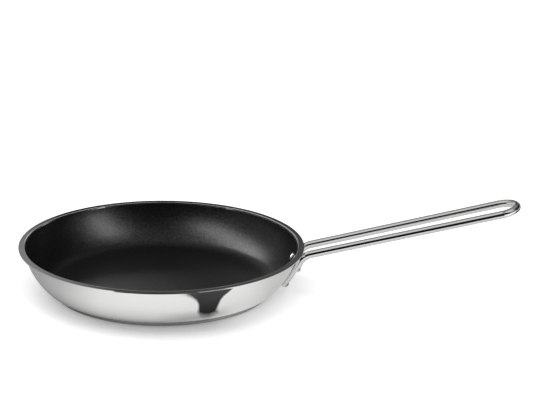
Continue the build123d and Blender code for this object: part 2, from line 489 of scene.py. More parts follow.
@dataclass(frozen=True)
class RolledAluminium:
    """Aluminium disc as rolled: pale and soft to the eye, and hidden in the base. Sizes are millimetres."""

    name: str = "rolled_aluminium"
    colour: str = "D6D7D9"
    roughness: float = 0.42
    line_spacing: float = 0.6
    line_depth: float = 0.02
    line_strength: float = 0.3
    line_stretch: float = 0.03

    def material(self) -> bpy.types.Material:
        """Builds the finish: a rough light metal with the roller's lines drawn out along one direction.

        Returns:
            The finish.
        """
        material = bpy.data.materials.new(self.name)
        tree = bare_tree(material)
        place = add_node(tree, "TexCoord")["Object"]
        drawn = add_node(tree, "Mapping", {"Scale": (self.line_stretch, 1, 1)}, {"Vector": place})[0]
        lines = add_node(tree, "TexNoise", {"Scale": 1 / (self.line_spacing * MM)}, {"Vector": drawn})["Fac"]
        relief = {"Strength": self.line_strength, "Distance": self.line_depth * MM}
        bump = add_node(tree, "Bump", relief, {"Height": lines})[0]
        metal = {"Base Color": linear(self.colour), "Metallic": 1.0, "Roughness": self.roughness}
        shader = add_node(tree, "BsdfPrincipled", metal, {"Normal": bump})
        add_node(tree, "OutputMaterial", None, {"Surface": shader[0]})
        return material


@dataclass
class Bowl:
    """Drawn steel bowl with its flat lip, and the black layer on its inside."""

    shape: BowlShape = field(default_factory=BowlShape)
    bevel_foot: float = 0.01
    segments: int = 360
    wall_steps: int = 48
    corner_steps: int = 36
    heel_steps: int = 12
    bend_steps: int = 12
    crease_steps: int = 14
    edge_steps: int = 8

    def wall_line(self, section: Section, inset: float, upwards: bool) -> None:
        """Adds the heel, corner and wall arcs at a depth inside the outer face.

        Args:
            section: the section that gets them.
            inset: depth inside the outer face.
            upwards: True for an outward face, which runs up from the floor. An inward one looks into the
                bowl and runs down.
        """
        shape = self.shape
        heel_end = shape.heel_angle - 90
        # The steel's inner face ends at the small bend below the bevel, and the others where the wall does.
        to_crease = inset == shape.sheet and not upwards
        top = shape.crease_angle - 180 if to_crease else -shape.wall_flare
        arcs = [
            (shape.heel_centre, shape.heel_arc, -90, heel_end, self.heel_steps),
            (shape.corner_centre, shape.corner_arc, heel_end, -shape.corner_angle, self.corner_steps),
            (shape.wall_centre, shape.wall_arc, -shape.corner_angle, top, self.wall_steps),
        ]
        for centre, radius, low, high, steps in arcs if upwards else reversed(arcs):
            start, end = (low, high) if upwards else (high, low)
            section.arc(centre, radius - inset, start, end, steps, hollow=not upwards)

    def shell(self) -> Skin:
        """Steel bowl: its section runs out under the floor, up the wall, round the lip and back down inside.

        Returns:
            The bowl's surface.
        """
        shape = self.shape
        section = Section().corner((0, shape.floor_height), (0, -1))
        self.wall_line(section, 0, upwards=True)
        bend = 180 - shape.wall_flare
        section.arc(shape.lip_centre, shape.lip_bend, bend, 90, self.bend_steps, hollow=True)
        edge = shape.lip_edge
        reach = shape.rim_radius - edge
        section.arc((reach, shape.rim_height - shape.sheet + edge), edge, -90, 0, self.edge_steps)
        section.arc((reach, shape.rim_height - edge), edge, 0, 90, self.edge_steps)
        # The lip's inner edge stands up in a narrow bevel, left bare where the coating is trimmed.
        crease = shape.crease_centre
        tilt = np.radians(shape.bevel_tilt)
        bevel = float(crease[0] + shape.lip_crease * np.sin(tilt) + shape.bevel_width * np.cos(tilt))
        section.corner((bevel + self.bevel_foot, shape.rim_height), (0, 1))
        section.corner((bevel, shape.rim_height), (np.sin(tilt), np.cos(tilt)))
        section.arc(crease, shape.lip_crease, 90 - shape.bevel_tilt, shape.crease_angle, self.crease_steps)
        self.wall_line(section, shape.sheet, upwards=False)
        section.corner((0, shape.floor_height + shape.sheet), (0, 1))
        return section.turned(self.segments)

    def layer(self) -> Skin:
        """Coating: the same arcs at two depths, closed at the top by a small rounded end.

        Returns:
            The coating's surface.
        """
        shape = self.shape
        section = Section().corner((0, shape.floor_height + shape.sheet), (0, -1))
        self.wall_line(section, shape.sheet, upwards=True)
        half = shape.coating / 2
        middle = shape.wall_centre + (shape.wall_arc - shape.sheet - half) * shape.flare_direction
        section.arc(middle, half, -shape.wall_flare, 180 - shape.wall_flare, self.edge_steps)
        self.wall_line(section, shape.sheet + shape.coating, upwards=False)
        section.corner((0, shape.floor_height + shape.sheet + shape.coating), (0, 1))
        return section.turned(self.segments)

    def build(self) -> None:
        """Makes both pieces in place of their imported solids."""
        steel = PolishedSteel("buffed_drawn_stainless").material()
        dress(self.shell().mesh_object("bowl_shell", steel), ["pan_body"])
        layer = self.layer().mesh_object("bowl_nonstick_layer", NonstickCoating().material())
        dress(layer, ["nonstick_coating"])


@dataclass
class Base:
    """Disc under the floor: a thin steel cup with a rounded foot around an aluminium core."""

    shape: BowlShape = field(default_factory=BowlShape)
    overhang: float = 10.2
    cap: float = 0.5
    foot: float = 0.8
    brim: float = 0.2
    segments: int = 360
    foot_steps: int = 12
    brim_steps: int = 8

    def under_bowl(self, reach: float) -> float:
        """Height of the bowl's outer corner arc at a radius."""
        centre = self.shape.corner_centre
        return float(centre[1] - np.sqrt(self.shape.corner_arc**2 - (reach - centre[0]) ** 2))

    def cup(self) -> Skin:
        """Steel cup: its section runs out under the base, round the foot, up the edge and back inside it.

        Returns:
            The cup's surface.
        """
        radius = self.shape.heel_centre[0] + self.overhang
        inner = radius - self.cap
        top = radius - self.brim
        section = Section().corner((0, 0), (0, -1))
        section.arc((radius - self.foot, self.foot), self.foot, -90, 0, self.foot_steps)
        section.arc((top, self.under_bowl(top) - self.brim), self.brim, 0, 90, self.brim_steps)
        section.corner((inner, self.under_bowl(inner)), (-1, 1))
        section.corner((inner, self.cap), (-1, 1))
        section.corner((0, self.cap), (0, 1))
        return section.turned(self.segments)

    def build(self) -> None:
        """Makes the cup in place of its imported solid, and finishes the core that it hides."""
        # The cup's colour is darker than the wall's steel: partly its own turned finish, partly painted shade
        # for the dark band at the foot.
        steel = PolishedSteel(
            "turned_magnetic_stainless_and_painted_shade", colour="989896", roughness=0.22, line_spacing=0.8, line_depth=0.05
        )
        dress(self.cup().mesh_object("base_cup", steel.material()), ["base_cap"])
        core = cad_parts["base_core"]
        core.data.materials.clear()
        core.data.materials.append(RolledAluminium().material())


@dataclass
class Handle:
    """One steel rod bent into a hairpin, with flattened ends laid on the wall.

    Each half of it lies in an upright plane, its side plane, and the two planes spread a little towards the
    tip. A place in one is a distance along the plane and a height. Side 1 is the half away from the camera,
    and -1 the near one. Rings are centres with two half axes each.
    """

    shape: BowlShape = field(default_factory=BowlShape)
    rod: float = 6.5
    root_spacing: float = 25.2
    tip_spacing: float = 28.5
    length: float = 180.0
    rise: float = 13.7
    rod_drop: float = 4.1
    bend: float = 14.0
    leg_thickness: float = 5.0
    leg_width: float = 8.0
    flattening_run: float = 8.0
    seat: float = 0.5
    upper_rivet_run: float = 4.2
    rivet_pitch: float = 16.8
    ring_points: int = 48
    leg_count: int = 56
    nose_count: int = 25
    bend_count: int = 34
    straight_count: int = 42
    tip_count: int = 72
    bend_passes: int = 4

    def __post_init__(self) -> None:
        """Works out the plan of the rods and the bend above each leg."""
        self.radius = self.rod / 2
        self.slope = np.radians(self.rise)
        self.tip_radius = self.tip_spacing / 2
        root = self.root_spacing / 2
        self.run = (self.length - self.radius) / np.cos(self.slope) - self.tip_radius
        self.lean = np.arcsin(self.tip_radius / np.hypot(self.run, root)) - np.arctan(root / self.run)
        self.splay = np.arctan(np.tan(self.lean) / np.cos(self.slope))
        self.offset = root * np.cos(self.splay) - self.shape.rim_radius * np.sin(self.splay)
        self.side_slope = np.arctan(np.tan(self.slope) * np.cos(self.splay))
        station = (self.shape.rim_radius + self.offset * np.sin(self.splay)) / np.cos(self.splay)
        self.at_lip = np.array([station, self.shape.rim_height - self.rod_drop])
        self.leg_arc = self.shape.wall_arc + self.radius
        self.leg_end = self.upper_rivet_run + self.rivet_pitch
        self.settle_bend()

    def settle_bend(self) -> None:
        """Finds the bend that touches the straight rod and the leg, whose arc is found again in each pass.

        The bend's centre lies its own radius below the rod, and the sum of both arcs from the leg's centre.
        """
        up = np.array([np.cos(self.side_slope), np.sin(self.side_slope)])
        below = np.array([np.sin(self.side_slope), -np.cos(self.side_slope)])
        centre = self.shape.wall_centre
        start = np.radians(self.shape.wall_flare)
        corner = self.at_lip + self.bend * below
        for _ in range(self.bend_passes):
            reach = centre[0] + self.leg_arc * np.cos(start)
            leg_centre = np.array([centre[0] - reach + self.station(reach), centre[1]])
            gap = corner - leg_centre
            forward = gap @ up
            step = np.sqrt(forward**2 + (self.leg_arc + self.bend) ** 2 - gap @ gap) - forward
            self.bend_centre = corner + up * step
            fall = self.bend_centre - leg_centre
            start = np.arctan2(-fall[1], fall[0])
        self.leg_start = float(np.degrees(start))

    def station(self, reach: np.ndarray | float) -> np.ndarray | float:
        """Distance along a side plane at which it is a given radius away from the pan's axis."""
        return np.sqrt(reach**2 - self.offset**2)

    def leg_angle(self, run: np.ndarray | float) -> np.ndarray | float:
        """Angle below level, in degrees, round the wall arc after a run along the leg."""
        return self.leg_start + np.degrees(run / self.leg_arc)

    def across(self, side: int) -> np.ndarray:
        """Level unit vector square to a side plane, away from the handle's middle."""
        return np.array([-np.sin(self.splay), side * np.cos(self.splay), 0])

    def leg_sizes(self, run: np.ndarray | float) -> tuple[np.ndarray, np.ndarray, np.ndarray]:
        """Sizes of a leg, where the round rod blends smoothly into the flattened part.

        The blend is three times the squared share of the way, less twice its cube.

        Args:
            run: distance down the leg from the end of the bend.
        Returns:
            Half thickness, half width and depth of the seat on the wall.
        """
        progress = np.clip(np.asarray(run) / self.flattening_run, 0, 1)
        blend = progress**2 * (3 - 2 * progress)
        thickness = self.radius + (self.leg_thickness / 2 - self.radius) * blend
        width = self.radius + (self.leg_width / 2 - self.radius) * blend
        return thickness, width, self.seat * blend

    def side_points(self, section: np.ndarray, side: int) -> np.ndarray:
        """Puts a side plane's points in space: the plane is turned by its splay and set off the middle.

        Args:
            section: distances along the plane and heights, on the last axis.
            side: 1 or -1.
        Returns:
            The points.
        """
        along, height = section[..., 0], section[..., 1]
        x = along * np.cos(self.splay) - self.offset * np.sin(self.splay)
        y = side * (along * np.sin(self.splay) + self.offset * np.cos(self.splay))
        return np.stack([x, y, height], -1)

    def leg_frames(self, angle: np.ndarray, depth: np.ndarray, side: int) -> tuple[np.ndarray, np.ndarray]:
        """Places on a leg: the wall arc, widened by the depth, is met by the side plane at each angle.

        Args:
            angle: angles below level round the wall arc, in degrees.
            depth: distances outside the wall.
            side: 1 or -1.
        Returns:
            The points, and the wall's outward directions there.
        """
        radians = np.radians(angle)
        arc = self.shape.wall_arc + depth
        reach = self.shape.wall_centre[0] + arc * np.cos(radians)
        height = self.shape.wall_centre[1] - arc * np.sin(radians)
        points = self.side_points(np.stack([self.station(reach), height], -1), side)
        level = np.cos(radians) / reach
        outward = np.stack([level * points[..., 0], level * points[..., 1], -np.sin(radians)], -1)
        return points, outward

    def leg_rings(self, side: int) -> Rings:
        """Rings on one leg, from its rounded nose up to the end of the bend.

        Round the nose they are half a leg's width times the sine of a quarter turn further on, and close with
        its cosine.

        Args:
            side: 1 or -1.
        Returns:
            The rings.
        """
        run = np.linspace(0, self.leg_end, self.leg_count)
        turn = np.linspace(0, np.pi / 2, self.nose_count)[1:-1]
        runs = np.concatenate([run, self.leg_end + self.leg_width / 2 * np.sin(turn)])[::-1]
        closing = np.concatenate([np.ones_like(run), np.cos(turn)])[::-1]
        thickness, width, seat = self.leg_sizes(runs)
        thickness = thickness * np.sqrt(closing)
        centres, outward = self.leg_frames(self.leg_angle(runs), thickness - seat, side)
        across = self.across(side)
        sideways = unit(across - (outward @ across)[:, None] * outward)
        return centres, outward * thickness[:, None], sideways * (width * closing)[:, None]

    def bend_rings(self, side: int) -> Rings:
        """Rings of the round rod in the bend, whose centres run on an arc from the leg to the straight rod.

        Args:
            side: 1 or -1.
        Returns:
            The rings.
        """
        last = 90 - np.degrees(self.side_slope)
        angle = np.radians(np.linspace(self.leg_start, last, self.bend_count)[1:])
        direction = np.stack([np.cos(angle), -np.sin(angle)], -1)
        centres = self.side_points(self.bend_centre - self.bend * direction, side)
        outward = self.side_points(direction, side) - self.side_points(np.zeros(2), side)
        across = np.broadcast_to(self.across(side), centres.shape)
        return centres, outward * self.radius, across * self.radius

    def turn_rings(self) -> Rings:
        """Rings round the tip: their centres are on an arc in the sloping plane, from one rod to the other.

        Returns:
            The rings.
        """
        ahead = np.array([np.cos(self.slope), 0, np.sin(self.slope)])
        left = np.array([0.0, 1.0, 0.0])
        down = np.array([np.sin(self.slope), 0, -np.cos(self.slope)])
        root = np.array([self.shape.rim_radius, 0, self.shape.rim_height - self.rod_drop])
        angle = np.linspace(np.pi / 2 + self.lean, -np.pi / 2 - self.lean, self.tip_count)
        spoke = np.cos(angle)[:, None] * ahead + np.sin(angle)[:, None] * left
        centres = root + self.run * ahead + self.tip_radius * spoke
        return centres, np.broadcast_to(down, spoke.shape) * self.radius, spoke * self.radius

    def straight_rings(self, before: Sequence[np.ndarray], after: Sequence[np.ndarray]) -> list[np.ndarray]:
        """Rings along a straight rod, which change evenly from one ring to another.

        Args:
            before: rings whose last one the rod follows.
            after: rings whose first one follows the rod.
        Returns:
            The rings in between.
        """
        share = np.linspace(0, 1, self.straight_count)[1:-1, None]
        return [first[-1] + share * (last[0] - first[-1]) for first, last in zip(before, after)]

    def nose_pole(self, side: int) -> np.ndarray:
        """Point on the wall at the end of a leg's nose."""
        angle = np.array([self.leg_angle(self.leg_end + self.leg_width / 2)])
        return self.leg_frames(angle, np.zeros(1), side)[0][0]

    def skin(self) -> Skin:
        """Whole rod: ellipses swept along legs, bends, rods and tip, and pushed out where they meet the wall.

        A ring's points are its centre plus cosine times one half axis plus sine times the other. The normal
        divides each half axis by its squared length. Points inside the wall move onto its outer face.

        Returns:
            The rod's surface.
        """
        near = [np.concatenate(parts) for parts in zip(self.leg_rings(1), self.bend_rings(1))]
        far = [np.concatenate(parts)[::-1] for parts in zip(self.leg_rings(-1), self.bend_rings(-1))]
        tip = self.turn_rings()
        runs = zip(near, self.straight_rings(near, tip), tip, self.straight_rings(tip, far), far)
        centres, first, second = (np.concatenate(parts) for parts in runs)
        turn = np.linspace(0, 2 * np.pi, self.ring_points, endpoint=False)
        cosine, sine = np.cos(turn)[None, :, None], np.sin(turn)[None, :, None]
        rings = centres[:, None] + cosine * first[:, None] + sine * second[:, None]
        inverse = [axis / (axis**2).sum(-1, keepdims=True) for axis in (first, second)]
        normals = unit(cosine * inverse[0][:, None] + sine * inverse[1][:, None])
        poles = np.array([self.nose_pole(1), self.nose_pole(-1)])
        skin = Skin.between_poles(rings, normals, poles, unit(poles - centres[[2, -3]]))
        skin.points = self.off_the_wall(skin.points)
        return skin

    def off_the_wall(self, points: np.ndarray) -> np.ndarray:
        """Moves points that lie inside the wall arc out onto it, along the wall's outward direction.

        Args:
            points: points in space.
        Returns:
            The same points, with those below the wall's top at least the wall arc away from its centre.
        """
        reach = np.hypot(points[:, 0], points[:, 1])
        section = np.stack([reach, points[:, 2]], -1) - self.shape.wall_centre
        distance = np.linalg.norm(section, axis=-1)
        low = points[:, 2] < self.shape.wall_top[1]
        scale = np.where(low & (distance < self.shape.wall_arc), self.shape.wall_arc / distance, 1.0)
        moved = self.shape.wall_centre + section * scale[:, None]
        ratio = moved[:, 0] / reach
        return np.stack([points[:, 0] * ratio, points[:, 1] * ratio, moved[:, 1]], -1)

    def build(self) -> None:
        """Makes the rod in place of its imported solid."""
        steel = PolishedSteel(
            "buffed_stainless_rod", roughness=0.04, line_spacing=0.7, grain=Grain.LENGTHWISE
        )
        dress(self.skin().mesh_object("hairpin_handle", steel.material()), ["handle_rod"])


@dataclass
class Rivets:
    """Four steel rivets: domed heads on the coating and set ends, the buttons, on the legs."""

    handle: Handle = field(default_factory=Handle)
    shank: float = 4.0
    head: float = 7.0
    head_height: float = 1.6
    head_rim: float = 0.4
    button: float = 4.6
    button_height: float = 1.3
    button_rim: float = 0.5
    rim_land: float = 0.1
    seat: float = 0.4
    segments: int = 64
    dome_steps: int = 14

    def dome(self, section: Section, radius: float, rim: float, top: float, upwards: bool) -> None:
        """Adds a domed end: an arc through the rim and the top.

        Its radius is the square of the rim's radius plus that of the rise, over twice the rise.

        Args:
            section: the section that gets it.
            radius: radius of the rim.
            rim: distance of the rim from the wall's outer face.
            top: distance of the dome's top from that face.
            upwards: True for the end outside the wall, which is the section's last.
        """
        rise = top - rim
        bow = (radius**2 + rise**2) / (2 * rise)
        edge = float(np.degrees(np.arcsin(radius / bow)))
        if upwards:
            section.corner((radius, rim - self.rim_land), (1, 0))
            section.arc((0, top - bow), bow, 90 - edge, 90, self.dome_steps)
        else:
            section.arc((0, bow - top), bow, -90, edge - 90, self.dome_steps)
            section.corner((radius, self.rim_land - rim), (1, 0))

    def rivet(self, run: float, side: int) -> Skin:
        """One rivet, turned about its own axis and stood on the wall at its place on the leg.

        Args:
            run: distance of its place down the leg.
            side: 1 or -1.
        Returns:
            The rivet's surface.
        """
        handle = self.handle
        thickness, _, seat = handle.leg_sizes(run)
        leg = float(2 * thickness - seat)
        inside = handle.shape.sheet + handle.shape.coating
        section = Section()
        self.dome(section, self.head / 2, inside + self.head_rim, inside + self.head_height, upwards=False)
        section.corner((self.head / 2, self.seat - inside), (1, 1))
        section.corner((self.shank / 2, self.seat - inside), (1, 1))
        section.corner((self.shank / 2, leg - self.seat), (1, -1))
        section.corner((self.button / 2, leg - self.seat), (1, -1))
        self.dome(section, self.button / 2, leg + self.button_rim, leg + self.button_height, upwards=True)
        depth = np.array([float(thickness - seat)])
        centre, outward = handle.leg_frames(np.array([handle.leg_angle(run)]), depth, side)
        up = outward[0]
        across = unit(np.cross(UPRIGHT, up))
        axes = np.stack([across, np.cross(up, across), up])
        return section.turned(self.segments).moved(axes, centre[0] - up * depth[0])

    def build(self) -> None:
        """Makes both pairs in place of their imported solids."""
        steel = PolishedSteel("pressed_stainless_rivets", roughness=0.1, line_spacing=0.7).material()
        pairs = [
            ("rivets_by_the_bend", "upper_rivets", self.handle.upper_rivet_run),
            ("rivets_by_the_nose", "lower_rivets", self.handle.leg_end),
        ]
        for name, node, run in pairs:
            pair = self.rivet(run, 1).joined(self.rivet(run, -1))
            dress(pair.mesh_object(name, steel), [node])


@dataclass
class Card:
    """Card that only polished surfaces show: its dark and grey shapes are painted reflections and painted
    shadow in the steel.

    Its points are in metres. The veil says how much each point hides of what lies behind, from 0 to 1, and
    the glow how bright it looks, where 1 is white.
    """

    name: str
    points: np.ndarray
    faces: list[Sequence[int]]
    veil: np.ndarray
    glow: np.ndarray

    @classmethod
    def upright(cls, name: str, ahead: float, left: float, right: float, height: float) -> "Card":
        """Black board that stands on the floor, square to the camera's side: a painted dark reflection, which
        nothing else sees.

        Args:
            name: the card's name.
            ahead: distance from the pan's axis towards the camera, or away from it if negative, in metres.
            left: leftmost place, in metres.
            right: rightmost place.
            height: height above the floor.
        Returns:
            The card.
        """
        black = 0.012
        points = [(left, -ahead, 0), (right, -ahead, 0), (right, -ahead, height), (left, -ahead, height)]
        return cls(name, np.array(points), [(0, 1, 2, 3)], np.ones(4), np.full(4, black))

    @classmethod
    def corner(cls, name: str) -> "Card":
        """Black board that lies in front, with a narrow corner near the base, and a soft border all round. It
        is a painted dark reflection in the wall.

        The border moves each point of the outline out along its normal, which is the tangent turned by a
        right angle. The board gets lighter away from the pan.

        Args:
            name: the card's name.
        Returns:
            The card.
        """
        outline = [(45, -158), (47.5, -136), (48.5, -123), (46.5, -113), (43.5, -106), (41, -99.5)]
        outline += [(44, -95.5), (48, -92.7), (53, -91.5), (57.6, -95.5), (63, -99.8), (69, -104)]
        outline += [(77.5, -107.5), (90, -109), (113, -111), (102, -135), (75, -152)]
        border = np.array([9, 8, 4.5, 2.6, 2.2, 4, 9, 10, 8, 2.6, 2.2, 2.2, 2.2, 2.2, 2.5, 4, 4])[:, None]
        above_floor = 0.5
        core = np.array(outline)
        tangent = unit(np.roll(core, -1, 0) - np.roll(core, 1, 0))
        outward = np.stack([tangent[:, 1], -tangent[:, 0]], -1) * cls.turning(core)
        count = len(core)
        plan = np.vstack([core, core + border * outward])
        points = np.column_stack([plan, np.full(2 * count, above_floor)]) * MM
        faces = [tuple(range(count))] + grid_faces(2, count).tolist()
        reach = np.hypot(core[:, 0], core[:, 1])
        # Painted dark reflection, a little lighter away from the pan.
        glow = np.interp(reach, [100, 112, 145], [0.016, 0.034, 0.078])
        return cls(name, points, faces, np.repeat([1.0, 0.0], count), np.tile(glow, 2))

    @staticmethod
    def turning(outline: np.ndarray) -> float:
        """Sign of an outline's area, the sum of its crossed steps: 1 if it runs anticlockwise, else -1."""
        after = np.roll(outline, -1, 0)
        return float(np.sign((outline[:, 0] * after[:, 1] - outline[:, 1] * after[:, 0]).sum()))

    @classmethod
    def about_axis(
        cls,
        name: str,
        distance: Sequence[float],
        turn: Sequence[float],
        above_floor: float,
        veil: np.ndarray,
        glow: np.ndarray | float,
    ) -> "Card":
        """Sheet on a grid about the pan's axis.

        A point lies its distance times the sine of its turn to the right, and times the cosine to the front.

        Args:
            name: the card's name.
            distance: distances from the axis, one a ring, in millimetres.
            turn: turns from the front to the right, one a spoke, in degrees. The last joins the first.
            above_floor: height above the floor, in millimetres.
            veil: veil for each ring and spoke, or one for all of them.
            glow: glow, in the same way.
        Returns:
            The card.
        """
        radians = np.radians(turn)
        spokes = np.stack([np.sin(radians), -np.cos(radians)], -1)
        plan = (np.array(distance)[:, None, None] * spokes).reshape(-1, 2)
        points = np.column_stack([plan, np.full(len(plan), above_floor)]) * MM
        size = len(distance), len(turn)
        faces = grid_faces(*size).tolist()
        veils, glows = (np.broadcast_to(value, size).ravel() for value in (veil, glow))
        return cls(name, points, faces, veils, glows)

    @classmethod
    def ring(cls, name: str) -> "Card":
        """Grey sheet round the base, which the lower wall mirrors: a painted reflection of the floor, darker
        to the left, with painted shadow close to the base.

        Its glow is a tone for the turn, times a share for the distance that goes from the left side's to the
        right side's; the share is the painted shadow near the base. It is less where the corner card meets
        the base, as a painted shadow at that card's foot, and less again beyond that card, as a painted dark
        reflection.

        Args:
            name: the card's name.
        Returns:
            The card.
        """
        turn = np.arange(-180, 180, 2.0)
        tone_turn = [-180, -150, -95, -76, -57, -42, -29, -12, 40, 50, 61, 70, 80, 100, 180]
        tone = [0.66, 0.5, 0.28, 0.35, 0.49, 0.72, 0.94, 1, 1, 0.97, 0.85, 0.72, 0.66, 0.62, 0.66]
        distance = [93.5, 97, 100, 105, 112, 120, 140, 160, 320, 380]
        # Painted shadow: the shares darken the ring close to the base, more on the left.
        left_painted_shadow_share = np.array([0.25, 0.45, 0.64, 0.79, 0.92, 0.98, 1, 1, 1, 1])[:, None]
        right_painted_shadow_share = np.array([0.8, 0.82, 0.84, 0.86, 0.9, 0.94, 0.98, 1, 1, 1])[:, None]
        veil = np.array([0.88] * (len(distance) - 1) + [0.0])[:, None]
        to_right = np.interp(turn, [5, 35, 100, 150], [0, 1, 1, 0])
        share = left_painted_shadow_share + (right_painted_shadow_share - left_painted_shadow_share) * to_right
        # Painted shadow at the corner card's foot, close to the base.
        card_foot_shadow = np.interp(distance, [93, 96, 101, 110], [0, 0.25, 0.5, 0])[:, None]
        foot = card_foot_shadow * np.interp(turn, [0, 14, 26, 33, 42], [0, 0.8, 1, 0.7, 0])
        # Painted dark reflection beyond the corner card.
        at_back = np.interp(distance, [140, 160], [0, 0.75])[:, None]
        beyond = at_back * np.interp(turn, [12, 18, 38, 44], [0, 1, 1, 0])
        glow = share * np.interp(turn, tone_turn, tone) * (1 - foot) * (1 - beyond)
        return cls.about_axis(name, distance, turn, 0.2, veil, glow)

    @classmethod
    def far_corner(cls, name: str) -> "Card":
        """Dark sheet on the floor behind the handle's end, clear at its borders: a painted dark reflection in
        the rod's tip.

        The quads that join its last spoke to its first are clear too.

        Args:
            name: the card's name.
        Returns:
            The card.
        """
        distance = [340, 400, 900, 1000]
        turn = [82, 94, 106, 118, 130, 142, 154, 166]
        veil = np.outer([0, 0.92, 0.92, 0], [0, 1, 1, 1, 1, 1, 1, 0])
        return cls.about_axis(name, distance, turn, 0.8, veil, 0.05)

    def material(self) -> bpy.types.Material:
        """Paper of the card: it hides what is behind where its veil is full, and is clear where it is nought.

        Returns:
            The material.
        """
        material = bpy.data.materials.new(self.name)
        tree = bare_tree(material)
        veil = add_node(tree, "Attribute", {"attribute_name": "veil"})["Fac"]
        clear = add_node(tree, "BsdfTransparent")[0]
        glow = add_node(tree, "Attribute", {"attribute_name": "glow"})["Fac"]
        face = add_node(tree, "Emission", {"Color": WHITE}, {"Strength": glow})[0]
        paper = add_node(tree, "MixShader", None, {0: veil, 1: clear, 2: face})
        add_node(tree, "OutputMaterial", None, {"Surface": paper[0]})
        return material

    def build(self) -> None:
        """Puts the card up, where nothing but mirroring surfaces sees it."""
        mesh = bpy.data.meshes.new(self.name)
        mesh.from_pydata(self.points.tolist(), [], self.faces)
        mesh.attributes.new("veil", "FLOAT", "POINT").data.foreach_set("value", self.veil)
        mesh.attributes.new("glow", "FLOAT", "POINT").data.foreach_set("value", self.glow)
        mesh.materials.append(self.material())
        card = bpy.data.objects.new(self.name, mesh)
        card.visible_camera = card.visible_diffuse = card.visible_shadow = False
        card.visible_transmission = card.visible_volume_scatter = False
        bpy.context.scene.collection.objects.link(card)


class LampRole(Enum):
    """What a lamp does."""

    FILL = "lights matt surfaces and isn't mirrored"
    MIRRORED = "is only mirrored in glossy surfaces"


@dataclass(frozen=True)
class Lamp:
    """Rectangular soft lamp, in metres. Its strength is how bright its face is, where 1 is white.

    Where pieces are named that show it, it is mirrored in them and lights nothing else. Otherwise it is a
    fill.
    """

    name: str
    place: Place
    aim: Place
    size: Pair
    strength: float
    shown_by: tuple[str, ...] = ()

    @property
    def role(self) -> LampRole:
        """What the lamp does."""
        return LampRole.MIRRORED if self.shown_by else LampRole.FILL

    def build(self) -> None:
        """Puts the lamp up. Its power is its strength times pi times its area."""
        light = bpy.data.lights.new(self.name, "AREA")
        light.shape = "RECTANGLE"
        light.size, light.size_y = self.size
        light.energy = self.strength * np.pi * self.size[0] * self.size[1]
        lamp = bpy.data.objects.new(self.name, light)
        lamp.location = self.place
        lamp.rotation_euler = (Vector(self.aim) - Vector(self.place)).to_track_quat("-Z", "Y").to_euler()
        lamp.visible_glossy = self.role is LampRole.MIRRORED
        lamp.visible_diffuse = self.role is LampRole.FILL
        lamp.visible_camera = False
        if self.role is LampRole.MIRRORED:
            receivers = bpy.data.collections.new(self.name + "_receivers")
            for piece in self.shown_by:
                receivers.objects.link(bpy.data.objects[piece])
            lamp.light_linking.receiver_collection = receivers
        bpy.context.scene.collection.objects.link(lamp)


